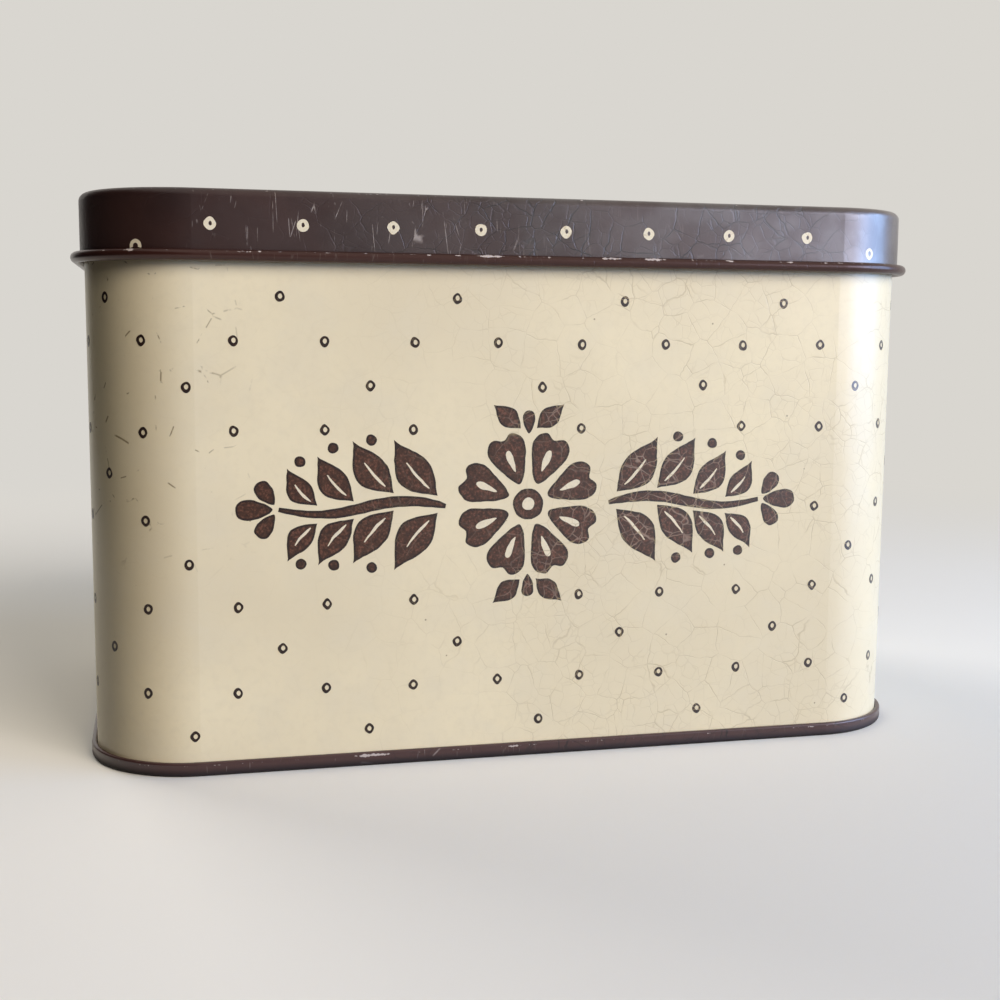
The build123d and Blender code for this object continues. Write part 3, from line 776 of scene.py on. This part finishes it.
def lid_dots():
    """Cream ring dots once round the lid's skirt. At each corner the drawn sheet has carried one down to the curl,
    and two of those end in it, so that only an arch of the ring shows."""
    rings = []
    for i in ROUND:
        s = LID_DOT_START + LID_DOT_PITCH * i
        if all(abs(s - corner) >= 12 for corner in LID_CORNERS):
            rings.append(ring_dot(s, LID_DOT_HEIGHT, LID_RING, 500 + i))
    for s in LOW_DOTS:
        rings.append(ring_dot(s, LOW_DOT_HEIGHT, CORNER_RING, 600 + int(s)))
    turns = [math.radians(-14 + 208 * i / 16) for i in range(17)]
    for s in ARCHES:
        arch = [(s + 0.95 * math.cos(t), ARCH_FOOT + 1.05 * math.sin(t)) for t in turns]
        arch += [(s + 0.42 * math.cos(t), ARCH_FOOT + 0.5 * math.sin(t)) for t in reversed(turns)]
        rings.append((arch, None))
    return rings


def lid_top_dots():
    """The same dots in staggered rows on the lid's recessed top."""
    rings = []
    for row in range(-5, 6):
        for i in range(-5, 6):
            x, y = DOT_PITCH * (i + 0.5 * (row % 2)), DOT_ROW * row
            in_corner = abs(x) / (RECESS_HALF[0] - 8) + abs(y) / 34 >= 1.62
            if abs(x) < RECESS_HALF[0] - 4 and abs(y) < RECESS_HALF[1] - 4 and not in_corner:
                rings.append(ring_dot(x, y, LID_RING, 900 + 20 * row + i))
    return rings


def dress_cad():
    """Gives each node of the frame its finish."""
    finishes = {"body_wall": body_enamel(), "lid": lid_enamel(), "bottom": foot_enamel()}
    strap = strap_tinplate()
    finishes["hinge_strap_left"] = finishes["hinge_strap_right"] = strap
    for k in range(1, 7):
        finishes[f"divider_{k}"] = guide_board(k)
        finishes[f"cards_{k}"] = card_stock(k)
    for node, finish in finishes.items():
        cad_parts[node].material_slots[0].material = finish


def print_tin():
    """Prints the wall and the lid, each ink as films of its own, one over the other by their lift in mm."""
    dark = litho_ink("Black_brown_litho_ink", INK_BLACK, INK_BROWN, amount=0.35, depth=0.3, crack=CRAZE_TAN)
    brown = litho_ink("Stippled_brown_litho_ink", INK_BROWN, INK_ROSE, amount=0.85, depth=0.6, crack=INK_CRAZE)
    cream = litho_ink("Cream_litho_ink", INK_CREAM, CREAM, amount=0.5, depth=0.06, crack=CRAZE_TAN)
    on_wall, on_skirt = partial(around, WALL), partial(around, SKIRT)

    def on_top(x, y, lift):
        return Vector((x, y + SKIRT[3], RECESS_TOP + lift)) * MM

    loops, open_ = front_ornament()
    outlines = [(loop, None) for loop in loops]
    fills = [(inset(loop, OUTLINE), None) for loop in loops]
    highlights = [(loop, None) for loop in open_]
    for name, shapes, put, lift, finish, body, slot in (
        ("wall_ring_dots", wall_dots(loops), on_wall, 0.02, dark, "tin", "brown_tinplate"),
        ("ornament_outlines", outlines, on_wall, 0.015, dark, "tin", "brown_tinplate"),
        ("ornament_fills", fills, on_wall, 0.025, brown, "tin", "brown_tinplate"),
        ("ornament_highlights", highlights, on_wall, 0.035, cream, "tin", "cream_tinplate"),
        ("lid_ring_dots", lid_dots(), on_skirt, 0.02, cream, "lid", "cream_tinplate"),
        ("lid_top_ring_dots", lid_top_dots(), on_top, 0.02, cream, "lid", "cream_tinplate"),
    ):
        film = ink_film(name, shapes, put, lift, finish)
        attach(film, body)


def seen_straight(tree):
    """1 where the camera sees a surface, mirrored or through glass too, and 0 where the surface only gives light."""
    path = add(tree, "ShaderNodeLightPath")
    seen = path.outputs["Is Camera Ray"]
    for ray in ("Is Transmission Ray", "Is Glossy Ray"):
        seen = add(tree, "ShaderNodeMath", {0: seen, 1: path.outputs[ray]}, operation="MAXIMUM")
    return seen


def lay_floor():
    """A plain, pale, matt floor, which goes over into the backdrop's colour away from the tin."""
    finish, tree, place, _ = new_finish("Pale_matt_floor")
    grain = add(tree, "ShaderNodeTexNoise", {"Vector": place, "Scale": per(60), "Detail": 2.0})
    tone = add(tree, "ShaderNodeMapRange", {0: grain, 3: 0.0, 4: 0.25})
    colour = add(tree, "ShaderNodeMix", {0: tone, 6: linear(FLOOR), 7: linear(FLOOR_DULL)},
                 data_type="RGBA").outputs[2]
    far = add(tree, "ShaderNodeVectorMath", {0: place}, operation="LENGTH").outputs["Value"]
    away = add(tree, "ShaderNodeMapRange", {0: far, 1: FLOOR_FADE[0], 2: FLOOR_FADE[1]},
               interpolation_type="SMOOTHSTEP")
    seen = seen_straight(tree)
    away = add(tree, "ShaderNodeMath", {0: away, 1: seen}, operation="MULTIPLY")
    # The tin is lit by a dimmer floor than the one seen, as on a table of wood.
    colour = add(tree, "ShaderNodeMix", {0: seen, 6: linear(FLOOR_BOUNCE), 7: colour}, data_type="RGBA").outputs[2]
    lit = add(tree, "ShaderNodeBsdfPrincipled", {"Base Color": colour, "Roughness": 0.8})
    pale = add(tree, "ShaderNodeEmission", {0: linear(BACKDROP), 1: 1.0})
    mix = add(tree, "ShaderNodeMixShader", {0: away, 1: lit, 2: pale})
    add(tree, "ShaderNodeOutputMaterial", {"Surface": mix})
    mesh = bmesh.new()
    bmesh.ops.create_circle(mesh, cap_ends=True, segments=96, radius=FLOOR_RADIUS)
    data = bpy.data.meshes.new("floor")
    mesh.to_mesh(data)
    mesh.free()
    floor = place_mesh("floor", data, finish)


def hang_flag():
    """A black flag at the left, which no camera sees, keeps that side in shade. It thins out towards its near end, so
    that no edge of it shows in the varnish."""
    finish, tree, place, _ = new_finish("Black_flag_cloth")
    across = add(tree, "ShaderNodeSeparateXYZ", {0: place}).outputs["X"]
    thin = add(tree, "ShaderNodeMapRange", {0: across, 1: -0.18, 2: 0.24}, interpolation_type="SMOOTHSTEP")
    black = add(tree, "ShaderNodeBsdfPrincipled", {"Base Color": linear(FLAG_BLACK), "Roughness": 0.9})
    clear = add(tree, "ShaderNodeBsdfTransparent")
    mix = add(tree, "ShaderNodeMixShader", {0: thin, 1: black, 2: clear})
    add(tree, "ShaderNodeOutputMaterial", {"Surface": mix})
    data = bpy.data.meshes.new("flag")
    corners = [(x, y, z) for z in (0.0, FLAG_HEIGHT) for x, y in FLAG_LINE]
    data.from_pydata(corners, [], [(i, i + 1, i + 6, i + 5) for i in range(4)])
    flag = place_mesh("flag", data, finish)
    flag.visible_camera = False
    flag.visible_shadow = False


def set_lamps():
    """A cool window-like lamp and a large soft one at the right, whose sheen shows in the varnish, and two warm
    fills, in front and behind, that aren't mirrored."""
    for name, place, aim, size, watts, colour, mirrored in (
        ("window_right", (0.52, -0.23, 0.15), (0.05, -0.03, 0.05), (0.36, 0.40), 3.0, "#9CC6FF", True),
        ("soft_right", (1.02, -1.04, 0.34), (0.0, -0.04, 0.05), (0.75, 0.66), 8.3, "#EAE9FF", True),
        ("fill_front", (0.42, -0.92, 0.62), (0.0, -0.04, 0.03), (0.6, 0.7), 10.1, "#FFF4E4", False),
        ("fill_back", (-0.55, 0.90, 0.60), (0.0, 0.04, 0.04), (0.6, 0.6), 8.5, "#FFFAF2", False),
    ):
        lamp = bpy.data.lights.new(name, "AREA")
        lamp.shape, lamp.size, lamp.size_y = "RECTANGLE", *size
        lamp.energy, lamp.color = watts, linear(colour)[:3]
        holder = bpy.data.objects.new(name, lamp)
        holder.location = place
        holder.rotation_euler = (Vector(aim) - Vector(place)).to_track_quat("-Z", "Y").to_euler()
        holder.visible_glossy = mirrored
        bpy.context.scene.collection.objects.link(holder)


def light_surround():
    """A plain world: the backdrop's colour where it is seen, and a dim cool light for the rest."""
    world = bpy.data.worlds.new("surround")
    world.use_nodes = True
    tree = world.node_tree
    tree.nodes.clear()
    dim = add(tree, "ShaderNodeBackground", {0: linear(SURROUND), 1: 0.20})
    pale = add(tree, "ShaderNodeBackground", {0: linear(BACKDROP), 1: 1.0})
    mix = add(tree, "ShaderNodeMixShader", {0: seen_straight(tree), 1: dim, 2: pale})
    add(tree, "ShaderNodeOutputWorld", {0: mix})
    bpy.context.scene.world = world


def set_camera():
    lens = bpy.data.cameras.new("camera")
    lens.lens, lens.sensor_width = 50.13, 36.0
    lens.clip_start, lens.clip_end = 0.01, 20.0
    camera = bpy.data.objects.new("camera", lens)
    camera.location = (-0.0570, -0.25725, 0.06855)
    camera.rotation_euler = [math.radians(a) for a in (83.022, -0.429, -13.618)]
    bpy.context.scene.collection.objects.link(camera)
    bpy.context.scene.camera = camera


bpy.context.scene.view_settings.view_transform = "Standard"
set_camera()
lay_floor()
hang_flag()
set_lamps()
light_surround()
dress_cad()
print_tin()
